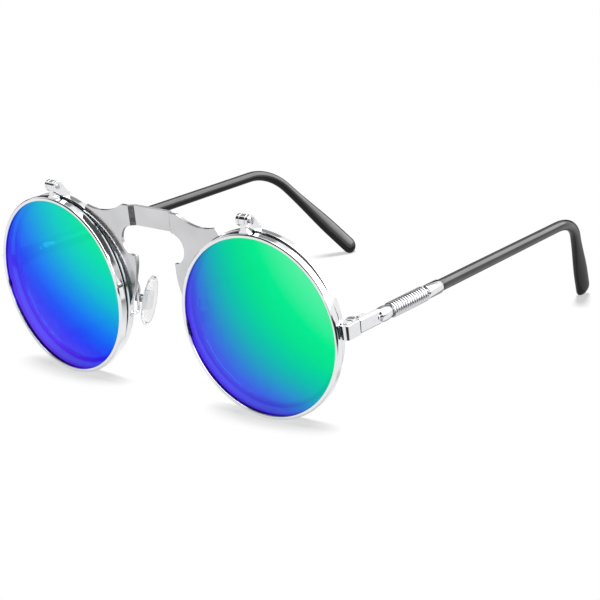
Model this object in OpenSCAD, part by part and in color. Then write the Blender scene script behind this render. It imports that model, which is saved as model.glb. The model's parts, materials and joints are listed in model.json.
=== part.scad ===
/* [Front] */
// Sideways place of each lens centre from the middle
lens_x = 36.5; // [35.5:0.5:39]
// Degrees that the top of the front leans forward
front_tilt = 3.7; // [0:0.1:8]
// Degrees that the outer edge of each lens turns back
wrap = 4.3; // [2:0.1:7]
/* [Flip ring and mirror lens] */
// Radius of the mirror lens that shows inside its ring
lens_r = 24; // [22.5:0.1:25]
// Thickness of the mirror lens
mirror_t = 1.2; // [0.8:0.1:2]
// Base curve radius of both lenses
lens_curve = 200; // [110:5:400]
// How deep a lens edge sits under the lips of its ring
lens_bite = 0.55; // [0.3:0.05:0.8]
// Wall of the flip ring outside its groove
ring_wall = 0.5; // [0.4:0.05:0.9]
// Thickness of the front lip of the flip ring
lip_t = 0.65; // [0.4:0.05:1]
// Thickness of the back lip of the flip ring
back_lip_t = 0.42; // [0.3:0.02:0.8]
// Chamfer on the outer edges of the rings
ring_chamfer = 0.35; // [0.1:0.05:0.45]
// Play between a lens edge and its groove
seat_gap = 0.05; // [0.02:0.01:0.1]
/* [Rear rim and clear lens] */
// Aperture radius of the rear rim
rear_r = 22.9; // [21.8:0.1:23.1]
// Thickness of the clear rear lens
rear_t = 1.3; // [0.9:0.1:2]
// How deep the rear lens sits in its groove
rear_bite = 0.4; // [0.3:0.05:0.6]
// Wall of the rear rim outside its groove
rear_wall = 0.85; // [0.6:0.05:1]
// Thickness of each lip of the rear rim
rear_lip_t = 0.38; // [0.3:0.02:0.8]
// Air between the flip ring and the rear rim
layer_gap = 0.8; // [0.5:0.05:1.5]
// How far the rear rim sits nearer to the nose than the flip ring
rim_in = 0.5; // [0:0.1:0.8]
// How far the rear rim sits above the flip ring centre
rim_up = 1; // [0.2:0.1:1.2]
/* [Rim lock and end piece] */
// Height of the lock above the lens centre
lock_z = 1.8; // [0:0.1:4]
// Height of the end piece, the temple bar and the closed lock
end_h = 3.8; // [3.4:0.1:4.6]
// Slot that splits the rear rim between the lock blocks
lock_slot = 0.3; // [0.2:0.05:0.6]
// Distance from the flip ring to the outer face of the end piece
end_reach = 2.3; // [2.2:0.1:3]
// Thickness of the end piece and of the hinge plates
plate_t = 1.2; // [0.9:0.05:1.4]
// Air between the end piece and the flip ring
ring_gap = 0.25; // [0.2:0.05:0.5]
// Outer corner radius of the end piece
corner_r = 0.8; // [0.3:0.1:0.9]
// Distance from the front lip back to the temple joint
joint_y = 7; // [6.8:0.1:9]
// Air at the joint between the end piece and the temple bar
joint_gap = 0.25; // [0.15:0.05:0.4]
// Radius of the lock screw shank
lock_screw_r = 0.6; // [0.4:0.05:0.65]
/* [Temple hinge] */
// Radius of the temple hinge barrels
barrel_r = 1.45; // [1.3:0.05:1.6]
// Height of the middle barrel
mid_barrel_h = 1.3; // [1:0.1:1.6]
// Gap between neighbouring barrels
barrel_gap = 0.1; // [0.05:0.05:0.2]
// Radius of the hinge screw shank
hinge_screw_r = 0.6; // [0.45:0.05:0.7]
// Radial play of every hinge screw or pin in a turning barrel
pin_play = 0.03; // [0.02:0.01:0.08]
// Length of the hinge leaf foot along the temple
leaf_len = 2.8; // [2:0.1:4]
/* [Temple] */
// Degrees that the temples run in toward the back
toe_in = 3; // [0:0.5:5]
// Degrees that the temples rise toward the back
temple_rise = 1.4; // [0:0.2:3]
// Length from the joint to the corner of the bend
temple_len = 99; // [88:1:108]
// Thickness of the flat bar
bar_t = 1.4; // [1.2:0.1:1.8]
// Where the flat bar ends and the collar begins
bar_len = 8.4; // [7:0.2:12]
// Length of the collar
collar_len = 4.2; // [3:0.2:6]
// Largest radius of the collar
collar_r = 2; // [1.85:0.05:2.2]
// Radius of the round core inside collar, spring and ferrule
core_r = 1.1; // [0.8:0.05:1.2]
// Distance of the core centre inward of the outer face
core_in = 0.9; // [0.8:0.05:1.1]
// Length of the coil spring
coil_len = 15.8; // [15.6:0.2:20]
// Radius of the coil measured to the wire centre
coil_r = 1.82; // [1.75:0.01:1.9]
// Radius of the spring wire
coil_wire_r = 0.32; // [0.25:0.01:0.33]
// Number of turns in the spring
coil_turns = 15; // [10:1:15]
// Length of the ferrule
ferrule_len = 6.4; // [4:0.2:9]
// Radius of the ferrule
ferrule_r = 1.9; // [1.75:0.05:2.1]
/* [Sleeve] */
// Half height of the sleeve at its front end
sleeve_h = 1.65; // [1.5:0.05:1.9]
// Half width of the sleeve at its front end
sleeve_w = 1.45; // [1.4:0.05:1.7]
// Half height of the sleeve just before the bend
sleeve_slim = 1.5; // [1.3:0.05:1.7]
// Half height of the sleeve tip at its widest
tip_h = 2.6; // [2:0.1:3.2]
// Half thickness of the sleeve tip
tip_w = 1.35; // [1:0.05:1.6]
// Radius of the bend over the ear
bend_r = 16; // [10:1:24]
// How far the tip reaches back past the bend corner
tip_back = 22.5; // [16:0.5:28]
// How far the tip turns inward past the bend corner
tip_in = 12.2; // [4:0.2:14]
// Depth of the core inside the sleeve
core_bite = 8; // [5:1:12]
/* [Flip hinge] */
// Sideways place of the flip hinge from the lens centre
flip_x = -1.3; // [-4:0.1:2]
// Height of the flip pin above the flip ring
flip_rise = 3.3; // [3:0.1:4.5]
// Depth of the flip pin behind the front lip
flip_pin_y = 1.5; // [1.2:0.1:2]
// Radius of the flip barrel and of the lug ends
flip_barrel_r = 1.5; // [1.2:0.05:1.6]
// Width of the flip barrel
flip_w = 1.9; // [1.5:0.1:3]
// Thickness of each lug
lug_t = 0.9; // [0.6:0.05:1.4]
// Side play between the flip barrel and a lug
side_gap = 0.05; // [0.03:0.01:0.1]
// Radius of the flip pin
flip_pin_r = 0.6; // [0.4:0.05:0.8]
// Play of the flip leaf at its closed stop
stop_gap = 0.05; // [0.03:0.01:0.1]
/* [Bridge] */
// Thickness of the bridge sheet
sheet_t = 0.9; // [0.6:0.05:1.2]
// Depth of the front face of the middle band
band_y = 2.9; // [2.4:0.1:3.2]
// Depth of the front face of the flanks
flank_y = 1.8; // [1.8:0.05:2.1]
// Half width of the middle band up to its jogs
band_half = 6.2; // [4:0.1:7]
// Sideways run of each jog
jog_run = 1.4; // [1:0.1:2.5]
// Height of the top edge above the lens centres
bridge_top = 26.3; // [25:0.1:28]
// Height of the band
band_h = 5.55; // [4:0.05:8]
// Radius of the keyhole lobes
key_r = 4.2; // [3:0.1:4.6]
// Half distance between the two teeth of the keyhole
tooth_x = 7.25; // [6:0.05:8]
// Radius of the nose edges below the teeth
nose_r = 26; // [24:0.5:30]
// Radius of the scallops in the top edge
scallop_r = 16; // [12:0.5:20]
/* [Nose pads] */
// Sideways place of the pads
pad_x = 10.8; // [10:0.1:11.2]
// Depth of the pads behind the front lip
pad_y = 7.4; // [7.3:0.1:9]
// Height of the pads from the lens centre
pad_z = -2.4; // [-4:0.1:0]
// Height of a pad
pad_h = 13.5; // [11:0.5:16]
// Width of a pad
pad_w = 7; // [5:0.1:8]
// Thickness of a pad
pad_t = 2.2; // [1.6:0.1:3]
// Degrees between a pad and the fore and aft plane
pad_splay = 18; // [15:1:30]
// Degrees that a pad leans back in its own plane
pad_lean = 13; // [0:1:25]
// Degrees that the pads close in at the top
pad_close = 11; // [0:1:14]
// Radius of the pad arm wire
arm_r = 0.35; // [0.25:0.05:0.4]
// Height of the arm loop above its cradle
arm_rise = 4.2; // [3:0.1:6]
// Distance that the arm runs back before it rises
arm_back = 1.9; // [1.4:0.1:3]
// Radius of the pad screw
pad_screw_r = 0.4; // [0.3:0.02:0.5]

/* [Hidden] */

// Depth that a sphere of radius r falls away at radius a
function sag(r, a) = r - sqrt(r * r - a * a);
function unit(v) = v / norm(v);
function mix(a, b, t) = a + (b - a) * t;
function ease(t) = let(c = max(0, min(1, t))) c * c * (3 - 2 * c);
function turn_x(p, a) = [p[0], p[1] * cos(a) - p[2] * sin(a), p[1] * sin(a) + p[2] * cos(a)];
function turn_y(p, a) = [p[0] * cos(a) + p[2] * sin(a), p[1], p[2] * cos(a) - p[0] * sin(a)];
function turn_z(p, a) = [p[0] * cos(a) - p[1] * sin(a), p[0] * sin(a) + p[1] * cos(a), p[2]];

// Flip ring
mirror_r = lens_r + lens_bite;
groove_r = mirror_r + seat_gap;
ring_r = groove_r + ring_wall;
mirror_apex = lip_t + seat_gap / 2 - sag(lens_curve, lens_r);
mirror_back = mirror_apex + mirror_t + sag(lens_curve - mirror_t, mirror_r);
groove_back = mirror_back + seat_gap / 2;
flip_depth = groove_back + back_lip_t;

// Rear rim, whose own centre is set in and up from the flip ring
rear_lens_r = rear_r + rear_bite;
rear_groove_r = rear_lens_r + seat_gap;
rim_r = rear_groove_r + rear_wall;
rim_y = flip_depth + layer_gap;
rear_front = rim_y + rear_lip_t + seat_gap / 2;
rear_apex = rear_front - sag(lens_curve, rear_r);
rear_back = rear_apex + rear_t + sag(lens_curve - rear_t, rear_lens_r) + seat_gap / 2;
rim_back = rear_back + rear_lip_t;
rim_mid = (rim_y + rim_back) / 2;

// End piece and lock
// The end piece stands clear of whichever ring reaches further out
rim_step = 0.9;
end_x = max(ring_r, rim_r + rim_step) + end_reach;
lock_x = end_x - plate_t;
lock_free = 0.2;
rim_edge = sqrt(rim_r * rim_r - pow(abs(lock_z - rim_up) + end_h / 2, 2)) - rim_in;
rim_side = sqrt(rim_r * rim_r - pow(lock_z - rim_up, 2)) - rim_in;
lock_screw_x = (rim_side + lock_x - lock_free) / 2;
flange_y = rim_y - 0.4 - plate_t;
head_h = 0.5;
slot_w = 0.3;

// Standing height, so that the rings touch the floor
floor_h = ring_r * cos(front_tilt) - ring_chamfer * cos(wrap) * sin(front_tilt);
function lens_to_front(p) = turn_z(p, wrap) + [lens_x, 0, 0];
function front_to_world(p) = turn_x(p, front_tilt) + [0, 0, floor_h];
joint = front_to_world(lens_to_front([end_x, joint_y, lock_z]));
function temple_to_world(p) = turn_z(turn_x(p, temple_rise), toe_in) + joint;

// Temple hinge
pivot_x = -plate_t - barrel_r - 0.25;
leaf_x = pivot_x + 0.3;
leaf_gap = barrel_r + 0.15;
// The front leaf wraps round the middle barrel and ends just behind the lock
front_foot = joint_y - rim_back - 0.15;

// Temple stations along its length
collar_y = bar_len;
coil_y = collar_y + collar_len;
ferrule_y = coil_y + coil_len;
sleeve_y = ferrule_y + ferrule_len;
core_end = sleeve_y + core_bite;
core_x = -core_in;

// Bend corner, and a tip direction that brings the rounded tip down to the floor
bend_at = [core_x, temple_len, 0];
tip_dome = 2.6;
function tip_dir(drop) = unit([-tip_in, tip_back, -drop]);
function bend_out(d) = unit([0, 1, 0] * d[1] - d);
function bend_side(d) = cross([0, 1, 0], bend_out(d));
function up_part(v) = turn_z(turn_x(v, temple_rise), toe_in)[2];
function tip_normal(d) = cross(bend_side(d), d);
function tip_reach(d) = norm([tip_dome * up_part(d), tip_h * up_part(tip_normal(d)),
    tip_w * up_part(bend_side(d))]);
function tip_low(drop) = let(d = tip_dir(drop))
    temple_to_world(bend_at + [-tip_in, tip_back, -drop] - d * tip_dome)[2] - tip_reach(d);
function settle(drop, n) = n == 0 ? drop : settle(drop + tip_low(drop), n - 1);
tip_drop = settle(30, 8);
tip_d = tip_dir(tip_drop);
tip_run = norm([tip_in, tip_back, tip_drop]);
bend_angle = acos(tip_d[1]);
bend_tan = bend_r * tan(bend_angle / 2);
out_n = bend_out(tip_d);
side_n = bend_side(tip_d);
lean = atan2(out_n[0], out_n[2]);

// Sleeve rings: place, tangent, normal, half height and half width
sides = 20;
straight_end = temple_len - bend_tan;
straight_run = straight_end - sleeve_y;
function sleeve_half(y) = mix(sleeve_h, sleeve_slim, ease((y - sleeve_y) / straight_run));
function ring_at(p, t, n, a, b) = let(s = cross(t, n))
    [for (k = [0 : sides - 1]) p + n * a * cos(k * 360 / sides) + s * b * sin(k * 360 / sides)];
function straight_ring(t) = let(y = sleeve_y + straight_run * t, g = lean * ease((t - 0.6) / 0.4),
    e = t == 0 ? 0.88 : 1, q = y + (t == 0 ? 0 : 0))
    ring_at([core_x, q, 0], [0, 1, 0], [sin(g), 0, cos(g)], sleeve_half(y) * e, sleeve_w * e);
function bend_ring(t) = let(a = bend_angle * t,
    c = [core_x, straight_end, 0] - out_n * bend_r,
    n = out_n * cos(a) + [0, 1, 0] * sin(a), d = [0, 1, 0] * cos(a) - out_n * sin(a))
    ring_at(c + n * bend_r, d, n, sleeve_slim, sleeve_w);
tip_straight = tip_run - bend_tan - tip_dome;
function tip_ring(t) = let(p = bend_at + tip_d * (bend_tan + tip_straight * t),
    f = ease(t / 0.75))
    ring_at(p, tip_d, cross(side_n, tip_d), mix(sleeve_slim, tip_h, f), mix(sleeve_w, tip_w, f));
function dome_ring(a) = let(p = bend_at + tip_d * (tip_run - tip_dome + tip_dome * sin(a)))
    ring_at(p, tip_d, cross(side_n, tip_d), tip_h * cos(a), tip_w * cos(a));
sleeve_rings = concat([straight_ring(0)], [straight_ring(0.006)],
    [for (k = [1 : 11]) straight_ring(k / 11)],
    [for (k = [1 : 10]) bend_ring(k / 10)],
    [for (k = [1 : 9]) tip_ring(k / 9)],
    [for (a = [18 : 18 : 72]) dome_ring(a)], [dome_ring(84)]);

// Middle of the bounding box along the depth
edge_r = ring_r - ring_chamfer;
front_most = -edge_r * norm([sin(wrap) * cos(front_tilt), sin(front_tilt)]);
back_most = max([for (r = sleeve_rings) for (p = r) temple_to_world(p)[1]]);
y_shift = -(front_most + back_most) / 2;

// Flip hinge, above whichever ring stands higher
rim_top = rim_up + rim_r;
flip_z = max(ring_r, rim_top - 0.1) + flip_rise;
web_front = flip_pin_y - 1.1;
web_back = flip_pin_y + 0.5;
lug_in = flip_w / 2 + side_gap;
lug_out = lug_in + lug_t;
foot_top = max(rim_top, ring_r + 0.1) + 1.2;

// Bridge outline heights
band_low = bridge_top - band_h;
key_z = band_low - key_r;
tooth_z = key_z - key_r;
bridge_foot = -6;
scallop_x = tooth_x + 11.55;
scallop_z = bridge_top + scallop_r - 2.55;

// Nose pad
pad_mid = -0.7;
pad_pivot = 1.5;
cheek_r = 0.85;
lug_half = 0.4;
cheek_t = 0.45;
cheek_gap = 0.05;
web_t = 0.8;
web_gap = 0.05;
plate_half = 0.3;
pad_face = pad_mid + pad_t / 2;
function pad_to_front(p) = turn_z(turn_y(turn_x(p, -pad_lean), -pad_close), -pad_splay)
    + [pad_x, pad_y, pad_z];
arm_foot_z = pad_z - 2.6;
rim_nose = -rim_in - sqrt(rim_r * rim_r - pow(arm_foot_z - rim_up, 2));
web_x = pad_pivot + cheek_r + web_gap + web_t / 2;
arm_start = lens_to_front([rim_nose + 0.5, rim_mid, arm_foot_z]);
arm_out = lens_to_front([rim_nose - 0.5, rim_mid + 0.5, arm_foot_z]);
arm_low = lens_to_front([rim_nose - 0.45, rim_back + arm_back - 0.7, arm_foot_z + 0.7]);
arm_end = pad_to_front([web_x, 0, cheek_r - 0.4]);
arm_drop = pad_to_front([web_x, 0, cheek_r + 1.4]);
arm_mid = [mix(arm_low[0], arm_drop[0], 0.15), mix(arm_low[1], arm_drop[1], 0.15),
    arm_end[2] + arm_rise - 1.8];
arm_top = [mix(arm_low[0], arm_drop[0], 0.55), mix(arm_low[1], arm_drop[1], 0.55),
    arm_end[2] + arm_rise];
arm_path = [arm_start, arm_out, arm_low, arm_mid, arm_top, arm_drop, arm_end];

// Smooth route through the path points
function spline(p, i, t) = let(a = p[max(0, i - 1)], b = p[i], c = p[i + 1],
    d = p[min(len(p) - 1, i + 2)])
    0.5 * (2 * b + (c - a) * t + (2 * a - 5 * b + 4 * c - d) * t * t
    + (3 * b - a - 3 * c + d) * t * t * t);
function smooth(p, n) = concat([for (i = [0 : len(p) - 2]) for (k = [0 : n - 1]) spline(p, i, k / n)],
    [p[len(p) - 1]]);

// A tube of n sides with its frame carried along without twist
function tangent(p, i) = i == 0 ? unit(p[1] - p[0]) : i == len(p) - 1 ? unit(p[i] - p[i - 1])
    : unit(unit(p[i] - p[i - 1]) + unit(p[i + 1] - p[i]));
function flat_to(n, t) = unit(n - t * (n * t));
function carried(p, i, n) = i >= len(p) ? [] :
    let(m = flat_to(n, tangent(p, i))) concat([m], carried(p, i + 1, m));
function tube_rings(p, r, n) = let(c = carried(p, 0, [0.3, 0.2, 0.93]))
    [for (i = [0 : len(p) - 1]) let(t = tangent(p, i), s = cross(t, c[i]))
    [for (k = [0 : n - 1]) p[i] + c[i] * r * cos(k * 360 / n) + s * r * sin(k * 360 / n)]];

// One closed skin over a list of rings, all faces triangles
module skin(rings) {
    n = len(rings[0]);
    m = len(rings);
    pts = [for (r = rings) for (p = r) p];
    walls = [for (i = [0 : m - 2]) for (k = [0 : n - 1]) let(j = (k + 1) % n)
        for (f = [[i * n + k, i * n + n + j, i * n + j], [i * n + k, i * n + n + k, i * n + n + j]]) f];
    first = [for (k = [1 : n - 2]) [0, k, k + 1]];
    last = [for (k = [1 : n - 2]) [m * n - n, m * n - n + k + 1, m * n - n + k]];
    polyhedron(points = pts, faces = concat(walls, first, last));
}

// Coil spring: eight rings in each turn, ends straight and square to what they meet
coil_tail = 2 * coil_wire_r;
coil_pitch = (coil_len - 2 * coil_tail) / coil_turns;
function coil_pt(k) = [core_x + coil_r * cos(k * 45), coil_y + coil_tail + coil_pitch * k / 8,
    coil_r * sin(k * 45)];
coil_count = coil_turns * 8;
coil_path = concat([coil_pt(0) - [0, coil_tail, 0]], [for (k = [0 : coil_count]) coil_pt(k)],
    [coil_pt(coil_count) + [0, coil_tail, 0]]);
function coil_axis(p) = [core_x, p[1], 0];
function coil_ring(i) = let(t = tangent(coil_path, i),
    c = flat_to(coil_path[i] - coil_axis(coil_path[i]), t), s = cross(t, c))
    [for (k = [0 : 5]) coil_path[i] + c * coil_wire_r * cos(k * 60) + s * coil_wire_r * sin(k * 60)];
coil_rings = [for (i = [0 : len(coil_path) - 1]) coil_ring(i)];
coil_clear = min([for (i = [1 : coil_count - 8]) for (a = coil_rings[i]) for (b = coil_rings[i + 8])
    norm(a - b)]);
echo(least_gap_of_the_spring_to_itself = coil_clear);

module front_frame() {
    translate([0, y_shift, floor_h])
        rotate([front_tilt, 0, 0])
            children();
}
module lens_frame() {
    front_frame()
        translate([lens_x, 0, 0])
            rotate([0, 0, wrap])
                children();
}
module temple_frame() {
    lens_frame()
        translate([end_x, joint_y, lock_z])
            rotate([0, 0, -wrap])
                rotate([-front_tilt, 0, 0])
                    rotate([temple_rise, 0, toe_in])
                        children();
}
module pad_frame() {
    front_frame()
        translate([pad_x, pad_y, pad_z])
            rotate([-pad_lean, -pad_close, -pad_splay])
                children();
}
module right_side() {
    mirror([1, 0, 0]) children();
}

// A profile of radius and depth turned about the lens axis
module lens_turned() {
    rotate([-90, 0, 0])
        rotate_extrude($fn = 160)
            children();
}
module lens_disc(r, depth) {
    rotate([-90, 0, 0])
        cylinder(r = r, h = depth, $fn = 160);
}
// A round bar along x
module bar_x(r, x0, x1) {
    translate([x0, 0, 0])
        rotate([0, 90, 0])
            cylinder(r = r, h = x1 - x0, $fn = 48);
}
// A round bar along y
module bar_y(r, y0, y1) {
    translate([0, y0, 0])
        rotate([-90, 0, 0])
            cylinder(r = r, h = y1 - y0, $fn = 48);
}
// Two round ends joined by their outer tangents
module link_2d(a, ra, b, rb) {
    d = b - a;
    h = norm(d);
    u = atan2(d[1], d[0]);
    w = acos((ra - rb) / h);
    translate(a) circle(r = ra, $fn = 48);
    translate(b) circle(r = rb, $fn = 48);
    polygon([a + ra * [cos(u + w), sin(u + w)], a + ra * [cos(u - w), sin(u - w)],
        b + rb * [cos(u - w), sin(u - w)], b + rb * [cos(u + w), sin(u + w)]]);
}
// Section of a curved lens: a shell between two spheres, cut at its edge
module lens_section(apex, t, r) {
    intersection() {
        translate([0, apex + lens_curve])
            difference() {
                circle(r = lens_curve, $fn = 720);
                circle(r = lens_curve - t, $fn = 720);
            }
        translate([0, apex - 1])
            square([r, t + sag(lens_curve - t, r) + 2]);
    }
}
// A grooved ring section
module ring_section(inner, groove, outer, depth, lip, back_lip, c) {
    polygon([[inner, 0.2], [inner + 0.2, 0], [outer - c, 0], [outer, c], [outer, depth - c],
        [outer - c, depth], [inner + 0.1, depth], [inner + 0.1, depth - back_lip],
        [groove, depth - back_lip], [groove, lip], [inner, lip]]);
}
// A slotted screw head with its top at z zero
module slot_head(r, h) {
    difference() {
        translate([0, 0, -h]) cylinder(r = r, h = h, $fn = 48);
        translate([-r - 1, -slot_w / 2, -h / 2]) cube([2 * r + 2, slot_w, h]);
    }
}

module rear_rim() {
    lens_frame()
        difference() {
            translate([-rim_in, rim_y, rim_up])
                lens_turned()
                    ring_section(rear_r, rear_groove_r, rim_r, rim_back - rim_y,
                        rear_lip_t, rear_lip_t, ring_chamfer);
            translate([rear_r - 4, rim_y - 1, lock_z - lock_slot / 2])
                cube([8, rim_back - rim_y + 2, lock_slot]);
        }
}
module rear_lens() {
    lens_frame()
        translate([-rim_in, 0, rim_up])
            lens_turned()
                lens_section(rear_apex, rear_t, rear_lens_r);
}
module lock_block(z0, z1, x1) {
    lens_frame()
        difference() {
            translate([rim_edge - 1, rim_y, z0])
                cube([x1 - rim_edge + 1, rim_back - rim_y, z1 - z0]);
            translate([-rim_in, rim_y - 1, rim_up])
                lens_disc(rim_r, rim_back - rim_y + 2);
            translate([lock_screw_x, rim_mid, lock_z - end_h])
                cylinder(r = lock_screw_r + pin_play, h = end_h * 1.5 - 0.5, $fn = 48);
        }
}
module lock_upper() {
    lock_block(lock_z + lock_slot / 2, lock_z + end_h / 2, lock_x);
}
module lock_lower() {
    lock_block(lock_z - end_h / 2, lock_z - lock_slot / 2, lock_x - lock_free);
}
module lock_screw() {
    lens_frame()
        translate([lock_screw_x, rim_mid, lock_z - end_h / 2]) {
            cylinder(r = lock_screw_r, h = end_h - 0.6, $fn = 48);
            translate([0, 0, -head_h])
                mirror([0, 0, 1])
                    slot_head(lock_screw_r + 0.35, head_h);
        }
}
module end_plan() {
    translate([end_x - plate_t, flange_y + corner_r])
        square([plate_t, joint_y + 1.5 - flange_y - corner_r]);
    translate([ring_r - 1, flange_y])
        square([end_x - corner_r - ring_r + 1, plate_t]);
    translate([end_x - corner_r, flange_y + corner_r])
        circle(r = corner_r, $fn = 48);
}
module end_piece() {
    difference() {
        lens_frame()
            difference() {
                translate([0, 0, lock_z - end_h / 2])
                    linear_extrude(end_h)
                        end_plan();
                translate([0, flange_y - 1, 0])
                    lens_disc(ring_r + ring_gap, plate_t + 2);
            }
        temple_frame()
            translate([-8, -joint_gap / 2, -8])
                cube([16, 8, 16]);
    }
}
module hinge_front_leaf() {
    difference() {
        temple_frame()
            difference() {
                union() {
                    translate([leaf_x, -front_foot, -end_h / 2])
                        cube([-leaf_x - 0.4, front_foot - 0.2, end_h]);
                    for (s = [-1, 1])
                        hinge_level(s * (end_h / 2 + mid_barrel_h / 2 + barrel_gap) / 2,
                            end_h / 2 - mid_barrel_h / 2 - barrel_gap, -1);
                }
                hinge_bore();
                translate([pivot_x, 0, -mid_barrel_h / 2 - barrel_gap])
                    cylinder(r = leaf_gap, h = mid_barrel_h + 2 * barrel_gap, $fn = 64);
            }
        lens_frame()
            translate([lock_x, 0, lock_z - end_h])
                cube([plate_t * 6, joint_y * 2, end_h * 2]);
    }
}
// One barrel with the tongue that joins it to its leaf foot
module hinge_level(z, h, way) {
    translate([pivot_x, 0, z - h / 2])
        cylinder(r = barrel_r, h = h, $fn = 64);
    translate([leaf_x, way < 0 ? -front_foot : 0, z - h / 2])
        cube([-leaf_x - plate_t, way < 0 ? front_foot : leaf_gap + 0.5, h]);
}
module hinge_bore() {
    translate([pivot_x, 0, -end_h])
        cylinder(r = hinge_screw_r + pin_play, h = end_h * 2, $fn = 48);
    translate([pivot_x, 0, end_h / 2 - head_h])
        cylinder(r = hinge_screw_r + 0.45, h = 2, $fn = 48);
}
module hinge_temple_leaf() {
    temple_frame()
        difference() {
            union() {
                hinge_level(0, mid_barrel_h, 1);
                translate([leaf_x, leaf_gap, -end_h / 2])
                    cube([-leaf_x - bar_t, leaf_len, end_h]);
            }
            translate([-bar_t, -5, -5])
                cube([5, 10, 10]);
            translate([pivot_x, 0, -end_h])
                cylinder(r = hinge_screw_r + pin_play, h = end_h * 2, $fn = 48);
        }
}
module hinge_screw() {
    temple_frame()
        translate([pivot_x, 0, 0]) {
            translate([0, 0, -end_h / 2])
                cylinder(r = hinge_screw_r, h = end_h - head_h, $fn = 48);
            translate([0, 0, end_h / 2])
                slot_head(hinge_screw_r + 0.4, head_h);
        }
}
module bar_section() {
    c = 0.35;
    w = bar_t;
    h = end_h / 2;
    polygon([[-w, -h], [-c, -h], [0, c - h], [0, h - c], [-c, h], [-w, h]]);
}
module temple_bar() {
    temple_frame() {
        translate([0, joint_gap / 2, 0])
            rotate([-90, 0, 0])
                linear_extrude(bar_len - joint_gap / 2)
                    mirror([0, 1])
                        bar_section();
        translate([core_x, 0, 0])
            bar_y(core_r, bar_len - 1, core_end);
    }
}
module collar() {
    bulge = 0.35;
    arc_r = (collar_len * collar_len / 4 + bulge * bulge) / (2 * bulge);
    temple_frame()
        translate([core_x, collar_y, 0])
            rotate([-90, 0, 0])
                rotate_extrude($fn = 64)
                    intersection() {
                        translate([core_r, 0]) square([collar_r, collar_len]);
                        translate([collar_r - arc_r, collar_len / 2]) circle(r = arc_r, $fn = 96);
                    }
}
module coil_spring() {
    temple_frame() skin(coil_rings);
}
module ferrule() {
    c = 0.3;
    temple_frame()
        translate([core_x, ferrule_y, 0])
            rotate([-90, 0, 0])
                rotate_extrude($fn = 64)
                    polygon([[core_r, 0], [ferrule_r - c, 0], [ferrule_r, c],
                        [ferrule_r, ferrule_len - 2 * c], [ferrule_r - c, ferrule_len],
                        [core_r, ferrule_len]]);
}
module sleeve() {
    temple_frame()
        difference() {
            skin(sleeve_rings);
            translate([core_x, 0, 0])
                bar_y(core_r, sleeve_y - 1, core_end);
        }
}
module flip_lug(x0, x1) {
    translate([x1, 0, 0])
        rotate([0, -90, 0])
            linear_extrude(x1 - x0)
                link_2d([flip_z, flip_pin_y], flip_barrel_r, [foot_top - 1, rim_y + 1], 1);
}
module flip_base() {
    lens_frame()
        difference() {
            translate([flip_x, 0, 0])
                difference() {
                    union() {
                        flip_lug(-lug_out, -lug_in);
                        flip_lug(lug_in, lug_out);
                        translate([-lug_out, rim_y + 0.1, rim_top - 1])
                            cube([2 * lug_out, rim_back - rim_y - 0.2, foot_top - rim_top + 1]);
                        translate([-flip_w / 2 + side_gap, web_back + stop_gap, ring_r + 0.25])
                            cube([flip_w - 2 * side_gap, rim_y + 0.3 - web_back - stop_gap, 0.85]);
                    }
                    translate([0, flip_pin_y, flip_z])
                        bar_x(flip_pin_r + 0.01, -lug_out - 1, lug_out + 1);
                }
            translate([-rim_in, rim_y - 3, rim_up])
                lens_disc(rim_r, rim_back - rim_y + 6);
        }
}
module flip_leaf() {
    lens_frame()
        difference() {
            translate([flip_x, 0, 0]) {
                difference() {
                    union() {
                        translate([0, flip_pin_y, flip_z])
                            bar_x(flip_barrel_r, -flip_w / 2, flip_w / 2);
                        translate([-flip_w / 2, web_front, ring_r - 1])
                            cube([flip_w, web_back - web_front, flip_rise + 1]);
                        translate([-flip_w / 2 - 0.6, web_front, ring_r - 1])
                            cube([flip_w + 1.2, web_back - web_front, 1.45]);
                    }
                    translate([0, flip_pin_y, flip_z])
                        bar_x(flip_pin_r + pin_play, -flip_w, flip_w);
                }
            }
            translate([0, -1, 0])
                lens_disc(ring_r, flip_depth + 2);
        }
}
module flip_pin() {
    proud = 0.25;
    lens_frame()
        translate([flip_x, flip_pin_y, flip_z]) {
            bar_x(flip_pin_r, -lug_out - proud, lug_out);
            translate([lug_out + 0.4, 0, 0])
                rotate([0, 90, 0])
                    slot_head(flip_pin_r + 0.35, 0.4);
        }
}
module flip_ring() {
    lens_frame()
        lens_turned()
            ring_section(lens_r, groove_r, ring_r, flip_depth, lip_t, back_lip_t, ring_chamfer);
}
module mirror_lens() {
    lens_frame()
        lens_turned()
            lens_section(mirror_apex, mirror_t, mirror_r);
}
// Half of the bridge outline, x across and y up
module bridge_half() {
    difference() {
        union() {
            intersection() {
                translate([tooth_x + nose_r, tooth_z]) circle(r = nose_r, $fn = 160);
                translate([tooth_x, bridge_foot]) square([lens_x - tooth_x, bridge_top - bridge_foot]);
            }
            translate([-0.01, band_low]) square([tooth_x + key_r, band_h]);
        }
        translate([tooth_x, key_z]) circle(r = key_r, $fn = 64);
        translate([scallop_x, scallop_z]) circle(r = scallop_r, $fn = 96);
        translate([lens_x - 14, bridge_top - 0.3]) rotate(-55) square([20, 20]);
    }
}
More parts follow.
